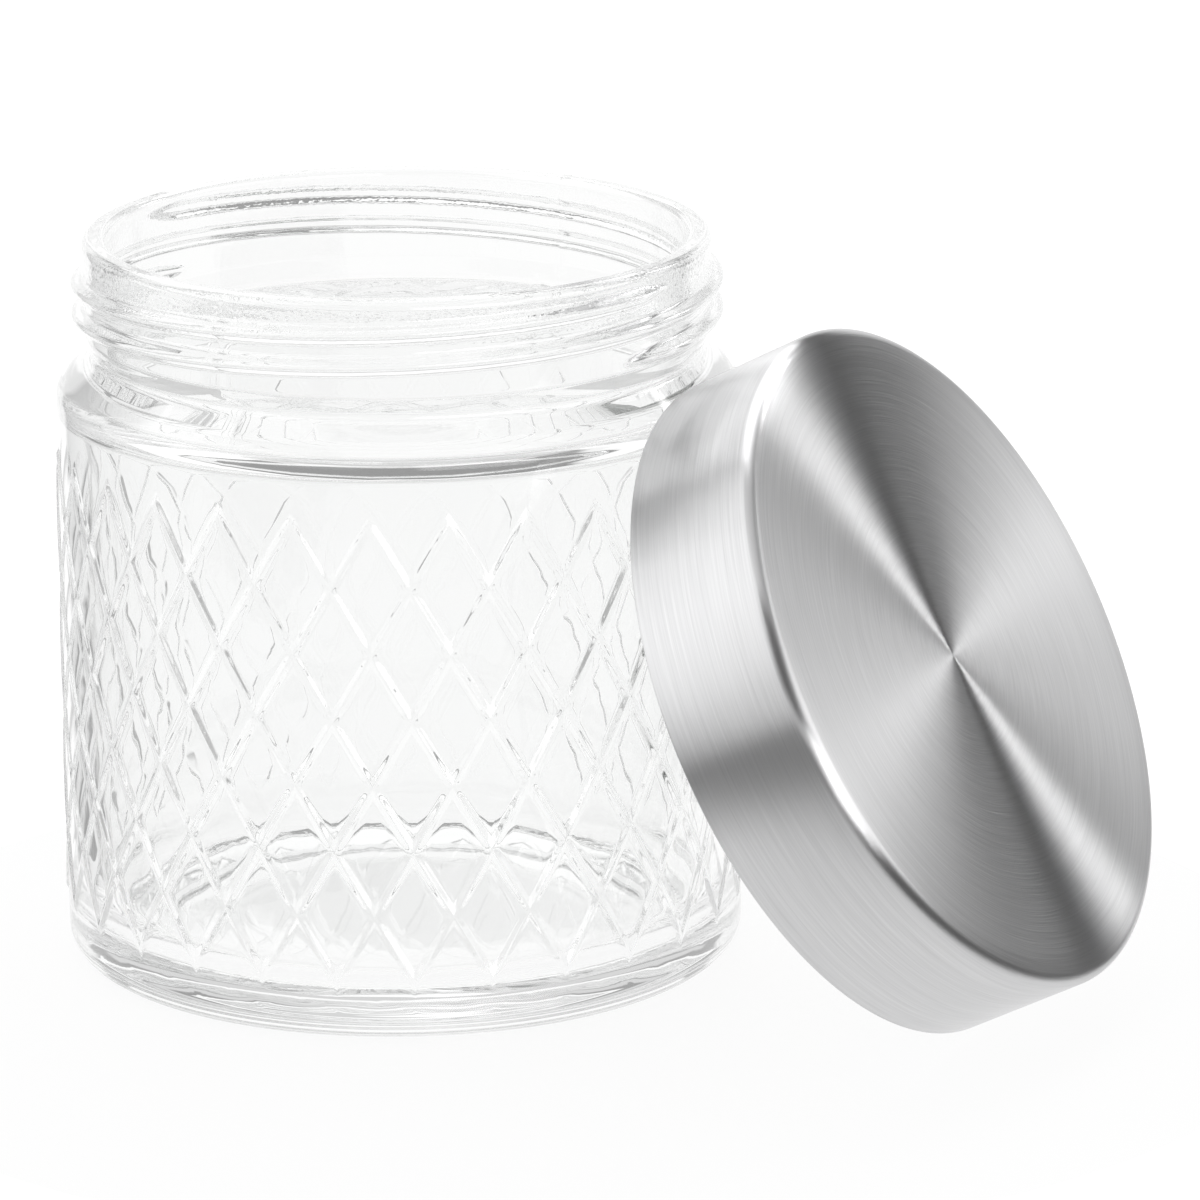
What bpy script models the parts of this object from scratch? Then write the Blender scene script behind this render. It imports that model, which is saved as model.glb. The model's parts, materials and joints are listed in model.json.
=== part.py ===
# Squat pressed-glass storage jar with a wide screw neck and a diamond lattice of ribs on its body,
# and its brushed steel screw lid, taken off and leaning on the jar's shoulder.
# Metres, +Z up. The origin is on the jar's axis, at the level of the table that it stands on.
import math

import bmesh
import bpy

for old in list(bpy.data.objects):
    bpy.data.objects.remove(old)

# Clearance between pieces that touch on the real object
PART_GAP = 0.0003

# Jar, outside, from the rim down
JAR_HEIGHT = 0.0977
FINISH_RADIUS = 0.0414
RIM_ROUND = 0.0011
FINISH_LENGTH = 0.0125
GROOVE_TAPER = 0.0028
GROOVE_DEPTH = 0.0011
GROOVE_LENGTH = 0.00055
SHOULDER_SLOPE = math.radians(38)
SHOULDER_ROUND = 0.003
SHOULDER_STEP = 0.00385
HEEL_ROUND = 0.004
BEARING_WIDTH = 0.0032
RECESS_SLOPE_WIDTH = 0.0015
BASE_RECESS = 0.0008

# Jar, inside
RIM_WALL = 0.0031
RIM_INNER_ROUND = 0.0009
BODY_WALL = 0.0035
BORE_FLARE = 0.004
BASE_THICKNESS = 0.0055
FLOOR_ROUND = 0.007

# Diamond lattice pressed into the body
LATTICE_COLUMNS = 28
LATTICE_ROWS = 7
LATTICE_FOOT = 0.0046
LATTICE_HEAD = 0.0069
LATTICE_TURN = math.radians(1.34)
RIB_HEIGHT = 0.0007
RIB_WIDTH = 0.0013

# Lid: the screw thread stands THREAD_HEIGHT out of the neck, and the insert clears it
THREAD_HEIGHT = 0.0016
THREAD_CLEARANCE = 0.00035
LINER_WALL = 0.0013
LINER_PANEL = 0.0012
SHELL_WALL = 0.00045
LID_HEIGHT = 0.0191
LID_ROUND = 0.0016
LID_DISH = 0.001
HEM_DEPTH = 0.0006
HEM_HEIGHT = 0.0012
GASKET_THICKNESS = 0.0012
GASKET_OVERLAP = 0.001

# Lid, as it leans: how far its axis rises above level, and where it points, seen from above
LID_TILT = math.radians(27.9)
LID_HEADING = math.radians(-27.1)
LEAN_GAP = 0.0005

# Facets
JAR_STEPS = 2 * LATTICE_COLUMNS
LID_STEPS = 64
ARC_STEPS = 4
EDGE_STEPS = 2
BLEND_STEPS = 6
LEAN_SAMPLES = 720
WELD_DISTANCE = 1e-6
SMOOTH_ANGLE = math.radians(30)

# Sizes that follow
BODY_RADIUS = FINISH_RADIUS + SHOULDER_STEP
GROOVE_RADIUS = FINISH_RADIUS - GROOVE_DEPTH
BORE_RADIUS = FINISH_RADIUS - RIM_WALL
INNER_RADIUS = BODY_RADIUS - BODY_WALL
RIB_RADIUS = BODY_RADIUS + RIB_HEIGHT
LINER_INNER = FINISH_RADIUS + THREAD_HEIGHT + THREAD_CLEARANCE
LINER_RADIUS = LINER_INNER + LINER_WALL
LID_RADIUS = LINER_RADIUS + PART_GAP + SHELL_WALL

# Heights inside the lid, from its open edge
LINER_FOOT = HEM_HEIGHT + PART_GAP
LINER_TOP = LID_HEIGHT - SHELL_WALL - LID_DISH - PART_GAP
LINER_CEILING = LINER_TOP - LINER_PANEL
GASKET_TOP = LINER_CEILING - PART_GAP

# Heights of the jar's outer profile
GROOVE_TOP = JAR_HEIGHT - FINISH_LENGTH - GROOVE_TAPER
GROOVE_BOTTOM = GROOVE_TOP - GROOVE_LENGTH
SHOULDER_RADIUS = BODY_RADIUS - SHOULDER_ROUND * (1 - math.sin(SHOULDER_SLOPE))
SHOULDER_FOOT = GROOVE_BOTTOM - (SHOULDER_RADIUS - GROOVE_RADIUS) * math.tan(SHOULDER_SLOPE)
WALL_TOP = SHOULDER_FOOT - SHOULDER_ROUND * math.cos(SHOULDER_SLOPE)
LATTICE_LOW = HEEL_ROUND + LATTICE_FOOT
LATTICE_HIGH = WALL_TOP - LATTICE_HEAD
HALF_DIAMOND = (LATTICE_HIGH - LATTICE_LOW) / LATTICE_ROWS


def arc(radius, middle, size, start, end, steps=ARC_STEPS):
    """Points of an arc in a profile: middle is its centre's height, angles run from the outward level."""
    points = []
    for step in range(steps + 1):
        angle = start + (end - start) * step / steps
        points.append((radius + size * math.cos(angle), middle + size * math.sin(angle)))
    return points


def make_material(name, colour, roughness, metallic=0.0, transmission=0.0):
    material = bpy.data.materials.new(name)
    material.use_nodes = True
    shader = material.node_tree.nodes["Principled BSDF"]
    shader.inputs["Base Color"].default_value = (*colour, 1.0)
    shader.inputs["Roughness"].default_value = roughness
    shader.inputs["Metallic"].default_value = metallic
    shader.inputs["Transmission Weight"].default_value = transmission
    material.diffuse_color = (*colour, 1.0)
    return material


def place_object(name, mesh, collection, material):
    piece = bpy.data.objects.new(name, mesh)
    collection.objects.link(piece)
    piece.data.materials.append(material)
    return piece


def profile_mesh(name, runs):
    """A mesh of open profiles, each a run of (radius, height) points in the XZ plane."""
    mesh = bpy.data.meshes.new(name)
    points = []
    edges = []
    for run in runs:
        first = len(points)
        points.extend((radius, 0.0, height) for radius, height in run)
        edges.extend((first + index, first + index + 1) for index in range(len(run) - 1))
    mesh.from_pydata(points, edges, [])
    return mesh


def turn(piece, steps):
    """Turns a profile once round the piece's own Z axis."""
    screw = piece.modifiers.new("turned", "SCREW")
    screw.axis = "Z"
    screw.angle = math.tau
    screw.steps = steps
    screw.render_steps = steps
    screw.use_merge_vertices = True
    screw.merge_threshold = WELD_DISTANCE
    screw.use_smooth_shade = True


def jar_inside():
    """Inner profile, from the middle of the floor up to the rim's flat land."""
    floor = [(0.0, BASE_THICKNESS)]
    floor += arc(INNER_RADIUS - FLOOR_ROUND, BASE_THICKNESS + FLOOR_ROUND, FLOOR_ROUND, -math.pi / 2, 0.0)
    blend_low = WALL_TOP - SHOULDER_ROUND
    blend = []
    for step in range(BLEND_STEPS + 1):
        share = step / BLEND_STEPS
        ease = 0.5 - 0.5 * math.cos(math.pi * share)
        radius = INNER_RADIUS + (BORE_RADIUS - INNER_RADIUS) * ease
        blend.append((radius, blend_low + BORE_FLARE * share))
    lip = arc(BORE_RADIUS + RIM_INNER_ROUND, JAR_HEIGHT - RIM_INNER_ROUND, RIM_INNER_ROUND,
              math.pi, math.pi / 2, EDGE_STEPS)
    return floor + blend + lip


def jar_outside():
    """Outer profile, from the rim's flat land down to the top of the ribbed wall."""
    lip = arc(FINISH_RADIUS - RIM_ROUND, JAR_HEIGHT - RIM_ROUND, RIM_ROUND, math.pi / 2, 0.0, EDGE_STEPS)
    neck = [
        (FINISH_RADIUS, JAR_HEIGHT - FINISH_LENGTH),
        (GROOVE_RADIUS, GROOVE_TOP),
        (GROOVE_RADIUS, GROOVE_BOTTOM),
    ]
    shoulder = arc(BODY_RADIUS - SHOULDER_ROUND, WALL_TOP, SHOULDER_ROUND, math.pi / 2 - SHOULDER_SLOPE, 0.0)
    return lip + neck + shoulder


def jar_underside():
    """Outer profile below the ribbed wall: heel, bearing ring and pushed-up panel."""
    heel = arc(BODY_RADIUS - HEEL_ROUND, HEEL_ROUND, HEEL_ROUND, 0.0, -math.pi / 2)
    ring_inner = BODY_RADIUS - HEEL_ROUND - BEARING_WIDTH
    panel = [
        (ring_inner, 0.0),
        (ring_inner - RECESS_SLOPE_WIDTH, BASE_RECESS),
        (0.0, BASE_RECESS),
    ]
    return heel + panel


def add_lattice(bm):
    """Ribbed wall: crests of the ribs on a net of diamonds, sloping to the plain fields between them."""
    half_width = BODY_RADIUS * math.pi / LATTICE_COLUMNS
    rib_share = RIB_WIDTH / 2 * math.hypot(half_width, HALF_DIAMOND) / (half_width * HALF_DIAMOND)
    field_share = 1 - rib_share

    def add_face(*corners):
        points = []
        for radius, (column, row) in corners:
            angle = math.pi * column / LATTICE_COLUMNS
            height = LATTICE_LOW + row * HALF_DIAMOND
            points.append(bm.verts.new((radius * math.cos(angle), radius * math.sin(angle), height)))
        bm.faces.new(points)

    def add_slope(crest_start, crest_end, field_start, field_end):
        add_face((RIB_RADIUS, crest_start), (RIB_RADIUS, crest_end),
                 (BODY_RADIUS, field_end), (BODY_RADIUS, field_start))

    def add_field(*corners):
        add_face(*[(BODY_RADIUS, corner) for corner in corners])

    for row in range(1, LATTICE_ROWS):
        for column in range((row + 1) % 2, JAR_STEPS, 2):
            ways = ((0, -1), (1, 0), (0, 1), (-1, 0))
            crests = [(column + across, row + up) for across, up in ways]
            fields = [(column + across * field_share, row + up * field_share) for across, up in ways]
            for side in range(4):
                after = (side + 1) % 4
                add_slope(crests[side], crests[after], fields[side], fields[after])
            add_field(fields[0], fields[1], fields[2])
            add_field(fields[0], fields[2], fields[3])

    for tip_row, outward, edge_height in ((0, -1, HEEL_ROUND), (LATTICE_ROWS, 1, WALL_TOP)):
        edge_row = (edge_height - LATTICE_LOW) / HALF_DIAMOND
        for column in range(JAR_STEPS):
            start_row = tip_row - outward * ((column - tip_row) % 2)
            end_row = tip_row - outward * ((column + 1 - tip_row) % 2)
            field_start = (column, start_row + outward * rib_share)
            field_end = (column + 1, end_row + outward * rib_share)
            add_slope((column, start_row), (column + 1, end_row), field_start, field_end)
            add_field(field_start, field_end, (column + 1, edge_row), (column, edge_row))


def build_jar(collection):
    glass = make_material("clear_glass", (0.93, 0.96, 0.95), 0.03, transmission=1.0)
    profiles = profile_mesh("jar_profiles", (jar_inside() + jar_outside(), jar_underside()))
    turned = place_object("jar_turned", profiles, collection, glass)
    turn(turned, JAR_STEPS)
    scene_state = bpy.context.evaluated_depsgraph_get()
    mesh = bpy.data.meshes.new_from_object(turned.evaluated_get(scene_state))
    bpy.data.objects.remove(turned)

    bm = bmesh.new()
    add_lattice(bm)
    bm.from_mesh(mesh)
    bmesh.ops.remove_doubles(bm, verts=bm.verts, dist=WELD_DISTANCE)
    bmesh.ops.recalc_face_normals(bm, faces=bm.faces)
    mesh.clear_geometry()
    bm.to_mesh(mesh)
    bm.free()
    mesh.name = "glass_jar"
    mesh.materials.clear()
    mesh.shade_smooth()
    mesh.set_sharp_from_angle(angle=SMOOTH_ANGLE)
    jar = place_object("glass_jar", mesh, collection, glass)
    jar.rotation_euler.z = LATTICE_TURN


def dish(radius, height):
    """Height of the lid's shallow dished top at a radius, for a flat rim at the given height."""
    share = radius / (LID_RADIUS - LID_ROUND)
    return height - LID_DISH * (1 - share * share)


def shell_profile():
    """Drawn shell: dished top, small corner round, straight side and an edge hemmed inwards."""
    flat = LID_RADIUS - LID_ROUND
    radii = [flat * step / ARC_STEPS for step in range(ARC_STEPS + 1)]
    inner_top = LID_HEIGHT - SHELL_WALL
    top = [(radius, dish(radius, LID_HEIGHT)) for radius in radii]
    corner = arc(flat, LID_HEIGHT - LID_ROUND, LID_ROUND, math.pi / 2, 0.0)[1:]
    hem = [
        (LID_RADIUS, SHELL_WALL / 2),
        (LID_RADIUS - SHELL_WALL / 2, 0.0),
        (LID_RADIUS - SHELL_WALL - HEM_DEPTH / 2, 0.0),
        (LID_RADIUS - SHELL_WALL - HEM_DEPTH, SHELL_WALL / 2),
        (LID_RADIUS - SHELL_WALL - HEM_DEPTH, HEM_HEIGHT - SHELL_WALL / 2),
        (LID_RADIUS - SHELL_WALL, HEM_HEIGHT),
    ]
    inner_corner = arc(flat, inner_top - LID_ROUND + SHELL_WALL, LID_ROUND - SHELL_WALL, 0.0, math.pi / 2)
    underside = [(radius, dish(radius, inner_top)) for radius in reversed(radii[:-1])]
    return top + corner + hem + inner_corner + underside


def liner_profile():
    """Moulded insert: a flat panel with a skirt that stands on the shell's hem."""
    edge = LINER_WALL / 2
    corner = arc(LINER_RADIUS - edge, LINER_TOP - edge, edge, math.pi / 2, 0.0, EDGE_STEPS)
    skirt = [(LINER_RADIUS, LINER_FOOT), (LINER_INNER, LINER_FOOT)]
    return [(0.0, LINER_TOP)] + corner + skirt + [(LINER_INNER, LINER_CEILING), (0.0, LINER_CEILING)]


def gasket_profile():
    """Seal ring under the insert's panel, wider on the inside than the glass rim that it closes."""
    outer = LINER_INNER - PART_GAP
    inner = BORE_RADIUS - GASKET_OVERLAP
    low = GASKET_TOP - GASKET_THICKNESS
    return [(inner, GASKET_TOP), (outer, GASKET_TOP), (outer, low), (inner, low), (inner, GASKET_TOP)]


def jar_reach(height):
    """Widest radius of the jar at a height, ribs included."""
    ribs = [(BODY_RADIUS, LATTICE_HIGH), (RIB_RADIUS, LATTICE_HIGH), (RIB_RADIUS, LATTICE_LOW)]
    outline = jar_outside() + ribs + jar_underside()
    reach = 0.0
    for (radius, upper), (next_radius, lower) in zip(outline, outline[1:]):
        if lower <= height <= upper and upper > lower:
            share = (upper - height) / (upper - lower)
            reach = max(reach, radius + (next_radius - radius) * share)
    return reach


def lid_distance(edge_height):
    """How far from the jar's axis the middle of the lid's open edge lies as it leans on the jar."""
    distance = 0.0
    for sample in range(LEAN_SAMPLES):
        angle = math.tau * sample / LEAN_SAMPLES
        rise = LID_RADIUS * math.cos(angle)
        across = LID_RADIUS * math.sin(angle)
        clear = jar_reach(edge_height + rise * math.cos(LID_TILT)) + LEAN_GAP
        if abs(across) < clear:
            along = math.sqrt(clear * clear - across * across)
            distance = max(distance, along + rise * math.sin(LID_TILT))
    return distance


def build_lid(collection):
    edge_height = LID_RADIUS * math.cos(LID_TILT) + PART_GAP
    distance = lid_distance(edge_height)
    axis = bpy.data.objects.new("lid_axis", None)
    collection.objects.link(axis)
    axis.location = (distance * math.cos(LID_HEADING), distance * math.sin(LID_HEADING), edge_height)
    axis.rotation_euler = (0.0, math.pi / 2 - LID_TILT, LID_HEADING)

    steel = make_material("brushed_steel", (0.62, 0.62, 0.63), 0.28, metallic=1.0)
    plastic = make_material("white_plastic", (0.82, 0.83, 0.82), 0.45)
    silicone = make_material("clear_silicone", (0.78, 0.79, 0.78), 0.55)
    pieces = (
        ("lid_shell", shell_profile(), steel),
        ("lid_liner", liner_profile(), plastic),
        ("lid_gasket", gasket_profile(), silicone),
    )
    for name, profile, material in pieces:
        piece = place_object(name, profile_mesh(name, (profile,)), collection, material)
        piece.parent = axis
        turn(piece, LID_STEPS)


storage_jar = bpy.data.collections.new("storage_jar")
bpy.context.scene.collection.children.link(storage_jar)
build_jar(storage_jar)
build_lid(storage_jar)
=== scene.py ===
import json
import math

import bmesh
import bpy
import numpy as np
from mathutils import Matrix, Vector, noise


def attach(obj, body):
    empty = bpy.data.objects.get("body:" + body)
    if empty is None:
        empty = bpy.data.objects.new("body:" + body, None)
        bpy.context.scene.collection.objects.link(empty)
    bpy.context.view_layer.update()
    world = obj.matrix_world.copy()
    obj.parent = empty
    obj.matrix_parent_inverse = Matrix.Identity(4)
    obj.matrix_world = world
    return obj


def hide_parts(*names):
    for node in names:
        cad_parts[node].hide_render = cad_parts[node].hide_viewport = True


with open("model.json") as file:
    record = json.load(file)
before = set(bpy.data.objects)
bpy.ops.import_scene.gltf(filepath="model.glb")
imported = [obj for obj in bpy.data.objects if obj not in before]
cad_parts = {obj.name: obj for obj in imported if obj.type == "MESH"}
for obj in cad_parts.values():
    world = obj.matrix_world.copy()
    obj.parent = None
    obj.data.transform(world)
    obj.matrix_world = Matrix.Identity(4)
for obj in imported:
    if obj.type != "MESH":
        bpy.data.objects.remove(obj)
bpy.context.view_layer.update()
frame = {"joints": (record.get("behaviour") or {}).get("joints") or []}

# Glass jar, neck and rim: one pressing of clear soda-lime glass makes the whole jar. The neck carries a
# two-start right-hand screw thread under a fire-polished rim, and the halves of its mould leave fine seams.
MM = 0.001
DIAMONDS = 28
CUTS = 5
AROUND = 2 * DIAMONDS * CUTS
LATTICE_TURN = math.radians(1.34)
JAR_HEIGHT = 97.7
RIM_LAND = 39.2
NECK_RADIUS = 41.4
NECK_STEP = 0.26
BODY_RADIUS = 45.25
SHOULDER_ROUND = 3.0
SHOULDER_START = math.radians(52)
WALL_TOP = 76.52
THREAD_RISE = 1.6
THREAD_REACH_UP = 1.25
THREAD_REACH_DOWN = 1.55
THREAD_TOP = 95.0
THREAD_LEAD = 8.3
THREAD_START = math.radians(-33)
THREAD_LENGTH = math.radians(372)
THREAD_RUN_OUT = math.radians(11)
THREAD_CREST = 0.15
NECK_SEAM = math.radians(-123.4)
SHOULDER_SEAM = math.radians(-119.5)
MOULD_PARTING = 83.6
SEAM_RISE = 0.10
SEAM_HALF_WIDTH = 0.25
WELD = 1e-6


def ease(low, high, value):
    """0 below low, 1 above high, and a smooth rise between them."""
    share = np.clip((value - low) / (high - low), 0.0, 1.0)
    return share * share * (3.0 - 2.0 * share)


def rounded(corners, cuts=5):
    """Profile through (radius, height, round) corners, with an arc of that size in each corner."""
    points = []
    for index, (radius, height, size) in enumerate(corners):
        here = Vector((radius, height))
        if size == 0:
            points.append(here)
            continue
        back = (Vector(corners[index - 1][:2]) - here).normalized()
        ahead = (Vector(corners[index + 1][:2]) - here).normalized()
        half = back.angle(ahead) / 2
        middle = here + (back + ahead).normalized() * (size / math.sin(half))
        first = here + back * (size / math.tan(half)) - middle
        sweep = first.angle_signed(here + ahead * (size / math.tan(half)) - middle)
        for cut in range(cuts + 1):
            points.append(middle + Matrix.Rotation(-sweep * cut / cuts, 2) @ first)
    return points


def spaced(profile, step):
    """The same profile with no two points farther apart than step."""
    points = [profile[0]]
    for start, end in zip(profile, profile[1:]):
        pieces = max(1, math.ceil((end - start).length / step))
        points.extend(start.lerp(end, piece / pieces) for piece in range(1, pieces + 1))
    return points


def add_rows(shape, radii, heights, angles):
    """Adds a band of quads through points round the Z axis. All three are arrays of rows by columns."""
    rows, columns = radii.shape
    places = np.stack([radii * np.cos(angles), radii * np.sin(angles), heights], axis=-1) * MM
    corners = [[shape.verts.new(place) for place in row] for row in places]
    for row in range(rows - 1):
        for column in range(columns):
            after = (column + 1) % columns
            shape.faces.new((corners[row][column], corners[row][after],
                             corners[row + 1][after], corners[row + 1][column]))
    return corners


def grid(profile, angles):
    """Radii, heights and angles of a profile turned round the Z axis, as arrays of rows by columns."""
    shape = np.ones((len(profile), len(angles)))
    radii = np.array([point[0] for point in profile])[:, None] * shape
    heights = np.array([point[1] for point in profile])[:, None] * shape
    return radii, heights, np.asarray(angles)[None, :] * shape


def thread_runs(angles, start, length, top):
    """Both starts of a thread that runs down clockwise, seen from above, on their first and second turns.

    Gives the height of each ridge at these angles, and how much of it is left near the thread's two ends.
    """
    for first in (start, start + math.pi):
        for turns in (0, 1):
            run = (first - angles) % math.tau + turns * math.tau
            fade = ease(0.0, THREAD_RUN_OUT, run) * ease(0.0, THREAD_RUN_OUT, length - run)
            yield top - THREAD_LEAD * run / math.tau, fade


def neck_thread(angles, heights):
    """How far the thread stands out of the neck."""
    lift = np.zeros_like(heights)
    for ridge_heights, fade in thread_runs(angles, THREAD_START, THREAD_LENGTH, THREAD_TOP):
        above = heights - ridge_heights
        reach = np.where(above > 0, THREAD_REACH_UP, THREAD_REACH_DOWN) * (0.4 + 0.6 * fade)
        ridge = 1.0 - ease(THREAD_CREST, 1.0, np.abs(above) / reach)
        lift = np.maximum(lift, THREAD_RISE * ridge * np.sqrt(fade))
    return lift


jar_columns = LATTICE_TURN + math.tau * np.arange(AROUND) / AROUND
jar = bmesh.new()
neck_profile = spaced(rounded([
    (RIM_LAND, JAR_HEIGHT, 0),
    (NECK_RADIUS + 0.1, JAR_HEIGHT, 1.1),
    (NECK_RADIUS, 95.8, 1.0),
    (NECK_RADIUS, 85.2, 2.0),
    (40.3, 82.2, 1.0),
    (44.1, 78.9, 0),
]), NECK_STEP)
shoulder_profile = [Vector((BODY_RADIUS - SHOULDER_ROUND + SHOULDER_ROUND * math.cos(angle),
                            WALL_TOP + SHOULDER_ROUND * math.sin(angle)))
                    for angle in np.linspace(SHOULDER_START, 0.0, 9)[1:]]
neck_radii, neck_heights, neck_angles = grid(neck_profile + shoulder_profile, jar_columns)
for row in range(1, len(neck_heights) - 1):
    height = neck_heights[row, 0]
    seam = NECK_SEAM if height > MOULD_PARTING else SHOULDER_SEAM
    for side in (seam, seam + math.pi):
        middle = int(np.argmin(np.abs((jar_columns - side + math.pi) % math.tau - math.pi)))
        for offset in (-1, 0, 1):
            column = (middle + offset) % AROUND
            neck_angles[row, column] = side + offset * SEAM_HALF_WIDTH / neck_radii[row, column]
        neck_radii[row, middle] += SEAM_RISE * ease(78.0, 79.5, height) * ease(97.4, 96.5, height)
neck_radii += neck_thread(neck_angles, neck_heights)
add_rows(jar, neck_radii, neck_heights, neck_angles)

# Glass jar, ribbed wall: the mould has a lattice of fine grooves cut into it, so raised ribs cross on the
# wall in diamonds. They end in points above the heel and below the shoulder, with a plain band at both ends.
RIB_ROWS = 7
RIB_RISE = 0.36
RIB_REACH = 0.74
RIB_CREST = 0.18
RIB_FOOT = 0.16
LATTICE_LOW = 8.6
LATTICE_HIGH = 69.62
HEEL_ROUND = 4.0
HALF_WIDTH = BODY_RADIUS * math.pi / DIAMONDS
HALF_HEIGHT = (LATTICE_HIGH - LATTICE_LOW) / RIB_ROWS
SLANT = math.hypot(HALF_WIDTH, HALF_HEIGHT)
FIELD_DEPTH = HALF_WIDTH * HALF_HEIGHT / SLANT
RIB_RINGS = (0.0, 0.09, 0.20, 0.34, 0.48, 0.62, 0.74, 0.90, 1.5, 2.8)
BAND_RINGS = RIB_RINGS[:8]


def rib_lift(across, up):
    """Height of the ribs over the wall, at a place counted in half diamonds round and up the lattice."""
    total = np.zeros(np.shape(across))
    for way in (1, -1):
        line = across - way * up
        off = (line + 1.0) % 2.0 - 1.0
        foot = up + way * off * HALF_WIDTH ** 2 / SLANT ** 2
        past = np.maximum(np.maximum(-foot, foot - RIB_ROWS), 0.0) * SLANT
        inside = 1.0 - np.hypot(np.hypot(off * FIELD_DEPTH, past) / RIB_REACH, RIB_CREST)
        total += (0.5 * (inside + np.hypot(inside, RIB_FOOT))) ** 6
    return RIB_RISE * total ** (1 / 6)


def lattice_places(across, up):
    """Points of the ribbed wall, at places counted in half diamonds round and up the lattice."""
    radii = BODY_RADIUS + rib_lift(across, up)
    angles = LATTICE_TURN + across * math.pi / DIAMONDS
    heights = LATTICE_LOW + up * HALF_HEIGHT
    return np.stack([radii * np.cos(angles), radii * np.sin(angles), heights], axis=-1) * MM


corner_walk = np.array([(0, -1), (1, 0), (0, 1), (-1, 0)], dtype=float)
side_shares = np.arange(CUTS)[:, None] / CUTS
ring_walk = np.concatenate([start + (end - start) * side_shares
                            for start, end in zip(corner_walk, np.roll(corner_walk, -1, axis=0))])
for row in range(1, RIB_ROWS):
    for column in range((row + 1) % 2, 2 * DIAMONDS, 2):
        rings = []
        for distance in RIB_RINGS:
            walk = ring_walk * (1.0 - distance / FIELD_DEPTH)
            places = lattice_places(column + walk[:, 0], row + walk[:, 1])
            rings.append([jar.verts.new(place) for place in places])
        for outer, inner in zip(rings, rings[1:]):
            for index in range(len(outer)):
                after = (index + 1) % len(outer)
                jar.faces.new((outer[index], outer[after], inner[after], inner[index]))
        middle = jar.verts.new(lattice_places(np.array([float(column)]), np.array([float(row)]))[0])
        for index in range(len(rings[-1])):
            jar.faces.new((rings[-1][index], rings[-1][(index + 1) % len(rings[-1])], middle))

band_columns = np.arange(AROUND) / CUTS
for tip_row, outward, edge_height in ((0, -1, HEEL_ROUND), (RIB_ROWS, 1, WALL_TOP)):
    from_tip = np.abs((band_columns - tip_row + 1.0) % 2.0 - 1.0)
    zigzag = tip_row - outward * from_tip
    edge = np.full(AROUND, (edge_height - LATTICE_LOW) / HALF_HEIGHT)
    rows = [zigzag + outward * distance / FIELD_DEPTH for distance in BAND_RINGS]
    last = rows[-1]
    rows += [last + (edge - last) * share for share in np.linspace(0.0, 1.0, 6)[1:]]
    corners = [[jar.verts.new(place) for place in lattice_places(band_columns, row)] for row in rows]
    for upper, lower in zip(corners, corners[1:]):
        for index in range(AROUND):
            after = (index + 1) % AROUND
            jar.faces.new((upper[index], upper[after], lower[after], lower[index]))

# Glass jar, heel and base: the heel rounds into a narrow bearing ring with a stippled grip, and the panel
# inside the ring is pushed up a little so that the jar stands on the ring alone.
BASE_RECESS = 0.8
STIPPLE_RISE = 0.16
STIPPLE_SPACING = 3
heel_profile = [Vector((BODY_RADIUS - HEEL_ROUND + HEEL_ROUND * math.cos(angle),
                        HEEL_ROUND + HEEL_ROUND * math.sin(angle)))
                for angle in np.linspace(0.0, -math.pi / 2, 10)]
ring_edge = [Vector((40.9, 0.0)), Vector((40.3, 0.0))]
ring_stipple = [Vector((39.0, 0.0)), Vector((38.4, 0.0))]
base_panel = [Vector((38.05, 0.0)), Vector((37.3, 0.42)),
              Vector((36.55, BASE_RECESS)), Vector((20.0, BASE_RECESS))]
base_profile = heel_profile + ring_edge + ring_stipple + base_panel
base_radii, base_heights, base_angles = grid(base_profile, jar_columns)
for offset in range(len(ring_stipple)):
    row = len(heel_profile) + len(ring_edge) + offset
    base_heights[row] += STIPPLE_RISE * ((np.arange(AROUND) + offset) % STIPPLE_SPACING == 0)
last_ring = add_rows(jar, base_radii, base_heights, base_angles)[-1]
middle = jar.verts.new((0.0, 0.0, BASE_RECESS * MM))
for index in range(AROUND):
    jar.faces.new((last_ring[index], last_ring[(index + 1) % AROUND], middle))

# Glass jar, inside: the plunger leaves a plain bore that widens below the neck, a rounded floor, and walls
# that wave a little where the glass cooled. The finest of these waves, and the faint peel under the rim, are
# in the glass's finish.
BORE_RADIUS = 38.3
INNER_RADIUS = 41.75
FLOOR_HEIGHT = 5.5
FLOOR_ROUND = 7.0
INNER_STEP = 2.2
WAVE_RISE = 0.13
WAVES_ROUND = 3.4
WAVES_PER_MM = 0.062
inner_profile = spaced(rounded([
    (0.0, FLOOR_HEIGHT, 0),
    (INNER_RADIUS, FLOOR_HEIGHT, FLOOR_ROUND),
    (INNER_RADIUS, 74.4, 1.4),
    (BORE_RADIUS, 76.8, 1.4),
    (BORE_RADIUS, JAR_HEIGHT, 0.9),
    (RIM_LAND, JAR_HEIGHT, 0),
]), INNER_STEP)[1:]
inner_radii, inner_heights, inner_angles = grid(inner_profile, jar_columns)
for row in range(len(inner_profile)):
    height = inner_heights[row, 0]
    strength = WAVE_RISE * float(ease(6.0, 14.0, height) * ease(84.0, 70.0, height))
    if strength > 0:
        for column in range(AROUND):
            angle = inner_angles[row, column]
            place = Vector((math.cos(angle) * WAVES_ROUND, math.sin(angle) * WAVES_ROUND,
                            height * WAVES_PER_MM))
            inner_radii[row, column] += strength * noise.noise(place)
first_ring = add_rows(jar, inner_radii, inner_heights, inner_angles)[0]
middle = jar.verts.new((0.0, 0.0, FLOOR_HEIGHT * MM))
for index in range(AROUND):
    jar.faces.new((first_ring[index], first_ring[(index + 1) % AROUND], middle))

bmesh.ops.remove_doubles(jar, verts=jar.verts, dist=WELD)
bmesh.ops.recalc_face_normals(jar, faces=jar.faces)


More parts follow.
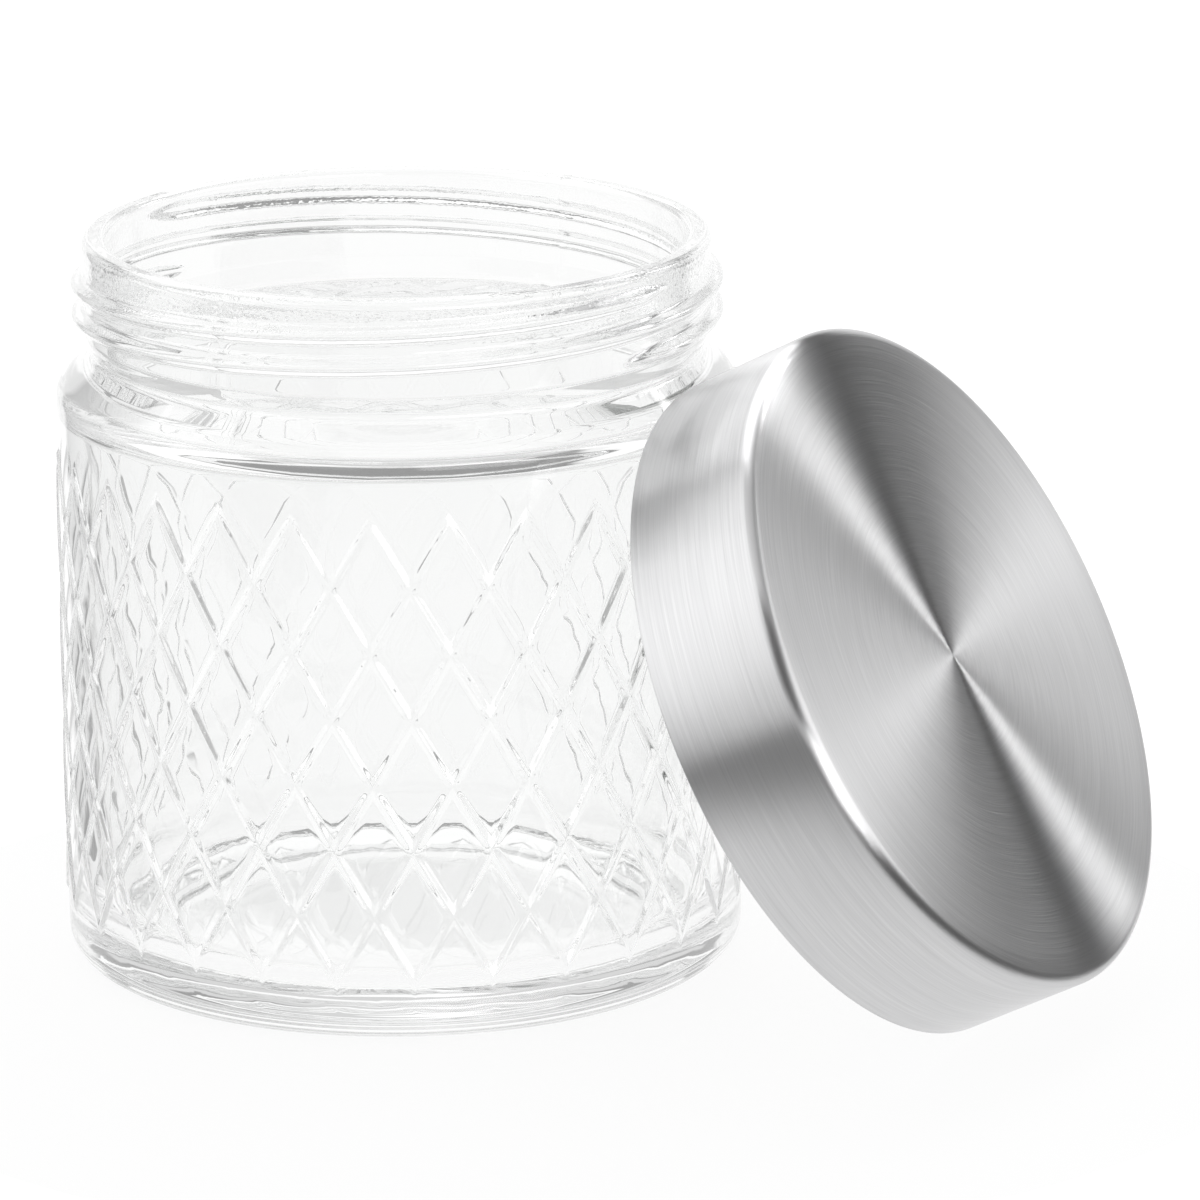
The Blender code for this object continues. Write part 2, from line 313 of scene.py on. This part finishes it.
class Socket:
    """A node's output in a material. Arithmetic on it adds Math nodes, and node() adds any other kind."""

    def __init__(self, tree, output=None):
        self.tree = tree
        self.output = output

    def node(self, kind, settings=None, sockets=None, output=0):
        made = self.tree.nodes.new(kind)
        for name, value in (settings or {}).items():
            if name == "stops":
                for stop, (place, shade) in zip(made.color_ramp.elements, value):
                    stop.position = place
                    stop.color = shade
            else:
                setattr(made, name, value)
        for name, value in (sockets or {}).items():
            if isinstance(value, Socket):
                self.tree.links.new(value.output, made.inputs[name])
            else:
                made.inputs[name].default_value = value
        return Socket(self.tree, made.outputs[output])

    def other(self, name):
        """Another output of the same node."""
        return Socket(self.tree, self.output.node.outputs[name])

    def maths(self, operation, *values):
        """A Math node on these values. Unlike the operators, it doesn't count this socket among them."""
        return self.node("ShaderNodeMath", {"operation": operation}, dict(enumerate(values)))

    def __add__(self, value):
        return self.maths("ADD", self, value)

    def __radd__(self, value):
        return self.maths("ADD", value, self)

    def __sub__(self, value):
        return self.maths("SUBTRACT", self, value)

    def __rsub__(self, value):
        return self.maths("SUBTRACT", value, self)

    def __mul__(self, value):
        return self.maths("MULTIPLY", self, value)

    def __rmul__(self, value):
        return self.maths("MULTIPLY", value, self)

    def __truediv__(self, value):
        return self.maths("DIVIDE", self, value)

    def __rtruediv__(self, value):
        return self.maths("DIVIDE", value, self)

    def __pow__(self, value):
        return self.maths("POWER", self, value)

    def __rpow__(self, value):
        return self.maths("POWER", value, self)

    def highest(self, value):
        return self.maths("MAXIMUM", self, value)

    def between(self, low, high):
        """0 at low, 1 at high and a smooth rise between them."""
        return self.node("ShaderNodeMapRange", {"interpolation_type": "SMOOTHSTEP"},
                         {"Value": self, "From Min": low, "From Max": high})


def new_material(name, colour, roughness):
    material = bpy.data.materials.new(name)
    material.use_nodes = True
    shader = material.node_tree.nodes["Principled BSDF"]
    shader.inputs["Base Color"].default_value = (*colour, 1.0)
    shader.inputs["Roughness"].default_value = roughness
    return material, shader, Socket(material.node_tree)


def feed(shader, name, socket):
    shader.id_data.links.new(socket.output, shader.inputs[name])


def axes_of(place):
    """X, Y and Z of a place on a piece, and its distance from the piece's own Z axis."""
    axes = place.node("ShaderNodeSeparateXYZ", None, {0: place})
    x, y, z = (axes.other(name) for name in "XYZ")
    return x, y, z, (x * x + y * y) ** 0.5


def new_piece(name, shape, material, place=Matrix()):
    mesh = bpy.data.meshes.new(name)
    shape.to_mesh(mesh)
    shape.free()
    mesh.shade_smooth()
    mesh.materials.append(material)
    piece = bpy.data.objects.new(name, mesh)
    bpy.context.scene.collection.objects.link(piece)
    piece.matrix_world = place
    return piece


glass, glass_shader, glass_nodes = new_material("pressed_clear_glass", (0.995, 0.998, 0.996), 0.0)
glass_shader.inputs["Transmission Weight"].default_value = 1.0
glass_shader.inputs["IOR"].default_value = 1.5
glass_place = glass_nodes.node("ShaderNodeTexCoord", output="Object")
_, _, glass_height, glass_radius = axes_of(glass_place)
inside_wall = (glass_radius.between(43.1 * MM, 42.9 * MM) * glass_height.between(72.0 * MM, 60.0 * MM)
               * glass_height.between(16.0 * MM, 30.0 * MM))
under_rim = glass_height.between(91.5 * MM, 92.5 * MM) * glass_height.between(96.5 * MM, 95.5 * MM)


def ripple(scale, detail):
    return glass_place.node("ShaderNodeTexNoise", None, {
        "Vector": glass_place, "Scale": scale, "Detail": detail})


glass_relief = 0.08 * (ripple(120.0, 2.0) * inside_wall) + 0.04 * (ripple(1500.0, 1.0) * under_rim)
feed(glass_shader, "Normal", glass_place.node("ShaderNodeBump", None, {
    "Distance": MM, "Height": glass_relief}))
glass_jar = new_piece("pressed_glass_jar", jar, glass)
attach(glass_jar, "jar")
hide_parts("glass_jar")

# Lid shell: drawn from stainless steel sheet, with a shallow dished top, a small corner round and an inward
# hem at the open edge, which stops just short of the glass that it leans on. Top and side are brushed on a
# lathe, so the grain runs in circles about the lid's axis.
LID_RADIUS = 45.4
LID_HEIGHT = 19.1
LID_DISH = 1.0
LID_ROUND = 1.6
SHEET = 0.45
HEM_EDGE = 0.16
HEM_TOP = 1.2
HEM_DEPTH = 0.6
LID_AROUND = 256
joints = {joint["name"]: joint for joint in frame["joints"]}
lid_axis = Vector(joints["seal_turn"]["axis"]).normalized()
lid_middle = Vector(joints["seal_turn"]["pos_m"])
lid_place = Matrix.Translation(lid_middle) @ lid_axis.to_track_quat("Z", "Y").to_matrix().to_4x4()
lid_columns = math.tau * np.arange(LID_AROUND) / LID_AROUND


def dished(top, radii):
    """Profile of the lid's top, which is lowest in the middle."""
    edge = LID_RADIUS - LID_ROUND
    return [Vector((radius, top - LID_DISH * (1.0 - (radius / edge) ** 2))) for radius in radii]


def turned(profile, ridge=None, ridge_rows=slice(0)):
    """A closed shape turned from a profile about the lid's axis, with an inward ridge on some of its rows."""
    shape = bmesh.new()
    radii, heights, angles = grid(profile, lid_columns)
    if ridge is not None:
        radii[ridge_rows] -= ridge(angles[ridge_rows], heights[ridge_rows])
    add_rows(shape, radii, heights, angles)
    bmesh.ops.remove_doubles(shape, verts=shape.verts, dist=WELD)
    bmesh.ops.recalc_face_normals(shape, faces=shape.faces)
    return shape


flat_radii = np.linspace(0.0, LID_RADIUS - LID_ROUND, 16)
shell_corner = [Vector((LID_RADIUS - LID_ROUND + LID_ROUND * math.sin(angle),
                        LID_HEIGHT - LID_ROUND + LID_ROUND * math.cos(angle)))
                for angle in np.linspace(0.0, math.pi / 2, 9)[1:]]
shell_side = rounded([
    (LID_RADIUS, LID_HEIGHT - LID_ROUND - 0.3, 0),
    (LID_RADIUS, HEM_EDGE, 0.22),
    (LID_RADIUS - SHEET - HEM_DEPTH, HEM_EDGE, 0.3),
    (LID_RADIUS - SHEET - HEM_DEPTH, HEM_TOP, 0.2),
    (LID_RADIUS - SHEET, HEM_TOP, 0.1),
    (LID_RADIUS - SHEET, LID_HEIGHT - LID_ROUND, 0),
], 3)
under_corner = [Vector((LID_RADIUS - LID_ROUND + (LID_ROUND - SHEET) * math.cos(angle),
                        LID_HEIGHT - LID_ROUND + (LID_ROUND - SHEET) * math.sin(angle)))
                for angle in np.linspace(0.0, math.pi / 2, 5)[1:]]
shell_profile = (dished(LID_HEIGHT, flat_radii) + shell_corner + shell_side + under_corner
                 + dished(LID_HEIGHT - SHEET, flat_radii[-2::-1]))

STEEL_DARK = (0.6, 0.6, 0.605)
STEEL_BRIGHT = (0.72, 0.72, 0.725)
SCRATCH_DEPTH = 0.04
steel, steel_shader, steel_nodes = new_material("spun_brushed_steel", STEEL_DARK, 0.28)
steel_shader.inputs["Metallic"].default_value = 1.0
steel_shader.inputs["Anisotropic"].default_value = 1.0
steel_shader.inputs["Anisotropic Rotation"].default_value = 0.25
steel_place = steel_nodes.node("ShaderNodeTexCoord", output="Object")
steel_x, steel_y, steel_height, steel_radius = axes_of(steel_place)


def brushing(lines_per_mm, breaks):
    """Fine scratches in circles about the lid's axis, on its top and down its side."""
    line = (steel_radius + steel_height) * (lines_per_mm / MM)
    along = steel_place.node("ShaderNodeCombineXYZ", None, {
        "X": line, "Y": steel_x / steel_radius * breaks, "Z": steel_y / steel_radius * breaks})
    return steel_place.node("ShaderNodeTexNoise", None, {
        "Vector": along, "Scale": 1.0, "Detail": 2.0, "Roughness": 0.6})


steel_grain = 0.5 * brushing(2.2, 2.0) + 0.5 * brushing(5.0, 3.0)
feed(steel_shader, "Base Color", steel_place.node("ShaderNodeValToRGB", {
    "stops": ((0.3, (*STEEL_DARK, 1.0)), (0.7, (*STEEL_BRIGHT, 1.0)))}, {"Fac": steel_grain}))
feed(steel_shader, "Normal", steel_place.node("ShaderNodeBump", None, {
    "Strength": 0.8, "Distance": SCRATCH_DEPTH * MM, "Height": steel_grain}))
lid_shell = new_piece("brushed_lid_shell", turned(shell_profile), steel, lid_place)
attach(lid_shell, "lid")
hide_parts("lid_shell")

# Lid insert: a moulded white plastic cup pressed into the shell and held by its hem. The two-start thread
# that grips the glass is moulded inside its skirt.
INSERT_RADIUS = 44.65
INSERT_BORE = 43.35
INSERT_FOOT = 1.5
INSERT_TOP = 17.35
INSERT_CEILING = 16.15
BORE_FOOT = 2.6
BORE_TOP = 14.4
BORE_STEP = 0.22
INSERT_THREAD_TOP = 12.6
INSERT_THREAD_LENGTH = math.radians(380)
INSERT_THREAD_RISE = 1.35
INSERT_THREAD_REACH = 1.1
INSERT_THREAD_CREST = 0.1


def insert_thread(angles, heights):
    """How far the thread stands in from the skirt's bore."""
    lift = np.zeros_like(heights)
    for ridge_heights, fade in thread_runs(angles, 0.0, INSERT_THREAD_LENGTH, INSERT_THREAD_TOP):
        off = np.abs(heights - ridge_heights) / INSERT_THREAD_REACH
        lift = np.maximum(lift, (1.0 - ease(INSERT_THREAD_CREST, 1.0, off)) * fade)
    return INSERT_THREAD_RISE * lift


insert_outside = rounded([
    (0.0, INSERT_TOP, 0),
    (INSERT_RADIUS, INSERT_TOP, 0.8),
    (INSERT_RADIUS, INSERT_FOOT, 0.3),
    (INSERT_BORE, INSERT_FOOT, 0.3),
    (INSERT_BORE, BORE_FOOT, 0),
])
insert_bore = spaced([Vector((INSERT_BORE, BORE_FOOT)), Vector((INSERT_BORE, BORE_TOP))], BORE_STEP)[1:]
insert_ceiling = [Vector((INSERT_BORE, INSERT_CEILING)), Vector((0.0, INSERT_CEILING))]
bore_rows = slice(len(insert_outside), len(insert_outside) + len(insert_bore))
insert_cup = turned(insert_outside + insert_bore + insert_ceiling, insert_thread, bore_rows)
plastic, _, _ = new_material("moulded_white_plastic", (0.82, 0.83, 0.82), 0.42)
lid_insert = new_piece("threaded_lid_insert", insert_cup, plastic, lid_place)
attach(lid_insert, "lid")
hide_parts("lid_liner")

# Lid seal: a flat ring of soft translucent silicone that lies loose under the insert's panel, where the glass
# rim presses on it.
SEAL_INSIDE = 37.3
SEAL_OUTSIDE = 43.05
SEAL_FOOT = 14.65
SEAL_TOP = 15.85
SEAL_MIDDLE = 15.2
SEAL_ROUND = 0.25
seal_profile = rounded([
    (SEAL_INSIDE, SEAL_MIDDLE, 0),
    (SEAL_INSIDE, SEAL_TOP, SEAL_ROUND),
    (SEAL_OUTSIDE, SEAL_TOP, SEAL_ROUND),
    (SEAL_OUTSIDE, SEAL_FOOT, SEAL_ROUND),
    (SEAL_INSIDE, SEAL_FOOT, SEAL_ROUND),
    (SEAL_INSIDE, SEAL_MIDDLE, 0),
], 3)
silicone, _, _ = new_material("soft_silicone", (0.78, 0.79, 0.78), 0.5)
lid_seal = new_piece("silicone_lid_seal", turned(seal_profile), silicone, lid_place)
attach(lid_seal, "seal")
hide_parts("lid_gasket")

# Studio: a round white table before a white backdrop, and the camera where the photograph was taken from. The
# steel and the glass's own surface mirror soft panels in a dark room. Rays that come through the glass see a
# white cove instead, whose grey gaps overhead and at its corners draw the lines in the glass.
TABLE_RADIUS = 0.1
TABLE_PLACE = Vector((0.02, -0.02, -0.0002))
TABLE_GLOW = 0.94
ROOM_LEVEL = 0.07
COVE_GAP = 0.42
COVE_CEILING = 0.32
KEY_SHARE = 0.5
# Each panel has an azimuth, elevation, roll, half width, half height, soft edge and level.
KEY_PANEL = (-5.2, 53.3, -46.3, 0.54, 0.48, 0.02, 2.2)
PANELS = (
    KEY_PANEL,
    (9.1, -8.0, 0.0, 0.78, 0.54, 0.08, 1.12),
    (52.9, 29.1, 2.6, 0.08, 0.13, 0.02, 7.0),
    (97.0, 21.5, 0.0, 0.67, 0.29, 0.1, 1.7),
    (-98.2, 25.0, 0.0, 0.70, 0.75, 0.1, 1.5),
    (180.0, 85.0, 0.0, 0.6, 0.6, 0.1, 0.8),
    (154.0, 6.0, 0.0, 0.36, 0.25, 0.06, 3.5),
    (-150.0, 3.0, 0.0, 0.3, 0.12, 0.06, 1.0),
)
COVE = (
    (0.0, -5.0, 0.0, 0.95, 0.27, 0.05, 1.0),
    (0.0, 12.0, 0.0, 0.95, 0.25, 0.06, 0.66),
    (0.0, 51.0, 0.0, 0.78, 0.24, 0.08, 0.95),
    (0.0, -38.0, 0.0, 0.36, 0.62, 0.08, 1.0),
    (-98.0, -13.0, 0.0, 1.15, 1.05, 0.12, 0.95),
    (98.0, -13.0, 0.0, 1.15, 1.05, 0.12, 0.95),
    (180.0, 46.0, 0.0, 0.6, 0.2, 0.06, 0.9),
    (180.0, 0.0, 0.0, 0.95, 0.45, 0.06, 0.82),
)
table = bmesh.new()
bmesh.ops.create_circle(table, cap_ends=True, segments=128, radius=TABLE_RADIUS)
table_finish, table_shader, table_nodes = new_material("white_table", (0.9, 0.9, 0.9), 0.7)
table_path = table_nodes.node("ShaderNodeLightPath", output="Is Camera Ray")
table_seen = table_path.highest(table_path.other("Is Glossy Ray"))
table_seen = table_seen.highest(table_path.other("Is Transmission Ray"))
table_glow = table_nodes.node("ShaderNodeEmission", None, {"Color": (1.0, 1.0, 1.0, 1.0), "Strength": 1.0})
table_surface = Socket(table_nodes.tree, table_shader.outputs[0])
table_mix = table_nodes.node("ShaderNodeMixShader", None, {
    0: TABLE_GLOW * table_seen, 1: table_surface, 2: table_glow})
feed(table_nodes.tree.nodes["Material Output"], "Surface", table_mix)
floor = new_piece("table", table, table_finish, Matrix.Translation(TABLE_PLACE))

world = bpy.data.worlds.new("studio")
bpy.context.scene.world = world
world.use_nodes = True
sight = Socket(world.node_tree).node("ShaderNodeTexCoord", output="Generated")


def toward(direction):
    """How far a sight line points in a direction."""
    return sight.node("ShaderNodeVectorMath", {"operation": "DOT_PRODUCT"}, {0: sight, 1: direction}, "Value")


def panel(azimuth, elevation, roll, half_width, half_height, soft, level):
    """A bright rectangle with soft edges. Its half sizes are tangents of the angles that it spans."""
    turn = (Matrix.Rotation(-math.radians(azimuth), 3, "Z") @ Matrix.Rotation(math.radians(elevation), 3, "X")
            @ Matrix.Rotation(-math.radians(roll), 3, "Y"))
    depth = toward(turn.col[1])
    inside = depth.between(0.04, 0.06)
    for side, half in ((turn.col[0], half_width), (turn.col[2], half_height)):
        off = sight.maths("ABSOLUTE", toward(side) / depth)
        inside = inside * off.between(half + soft, half - soft)
    return level * inside


def brightest(light, panels):
    for place in panels:
        light = light.highest(panel(*place))
    return light


height = toward((0.0, 0.0, 1.0))
cove_light = COVE_GAP + (COVE_CEILING - COVE_GAP) * height.between(0.2, 0.4)
cove_light = brightest(cove_light, COVE).highest(KEY_SHARE * panel(*KEY_PANEL))
room_light = brightest(panel(*PANELS[0]), PANELS[1:]).highest(ROOM_LEVEL)
room_path = sight.node("ShaderNodeLightPath", output="Is Camera Ray")
seen_light = room_light + room_path.other("Is Transmission Ray") * (cove_light - room_light)
feed(world.node_tree.nodes["Background"], "Color", seen_light.highest(room_path))

CAMERA_PLACE = Vector((0.0, -0.95221, 0.31156))
CAMERA_YAW = 0.0278
CAMERA_PITCH = 0.2711
CAMERA_ROLL = -0.0064
CAMERA_LENS = 222.15
ahead = Vector((math.sin(CAMERA_YAW) * math.cos(CAMERA_PITCH), math.cos(CAMERA_YAW) * math.cos(CAMERA_PITCH),
                -math.sin(CAMERA_PITCH)))
level = Vector((math.cos(CAMERA_YAW), -math.sin(CAMERA_YAW), 0.0))
upward = level.cross(ahead)
right = math.cos(CAMERA_ROLL) * level + math.sin(CAMERA_ROLL) * upward
above = math.cos(CAMERA_ROLL) * upward - math.sin(CAMERA_ROLL) * level
camera = bpy.data.objects.new("camera", bpy.data.cameras.new("camera"))
camera.data.lens = CAMERA_LENS
camera.data.sensor_width = 36.0
camera.data.clip_start = 0.01
camera.matrix_world = Matrix.Translation(CAMERA_PLACE) @ Matrix((right, above, -ahead)).transposed().to_4x4()
bpy.context.scene.collection.objects.link(camera)
bpy.context.scene.camera = camera
bpy.context.scene.view_settings.view_transform = "Standard"

# Light crosses thick glass many times between its faces before it leaves, so its paths are followed further.
GLASS_BOUNCES = 64
paths = bpy.context.scene.cycles
paths.max_bounces = GLASS_BOUNCES
paths.glossy_bounces = GLASS_BOUNCES
paths.transmission_bounces = GLASS_BOUNCES
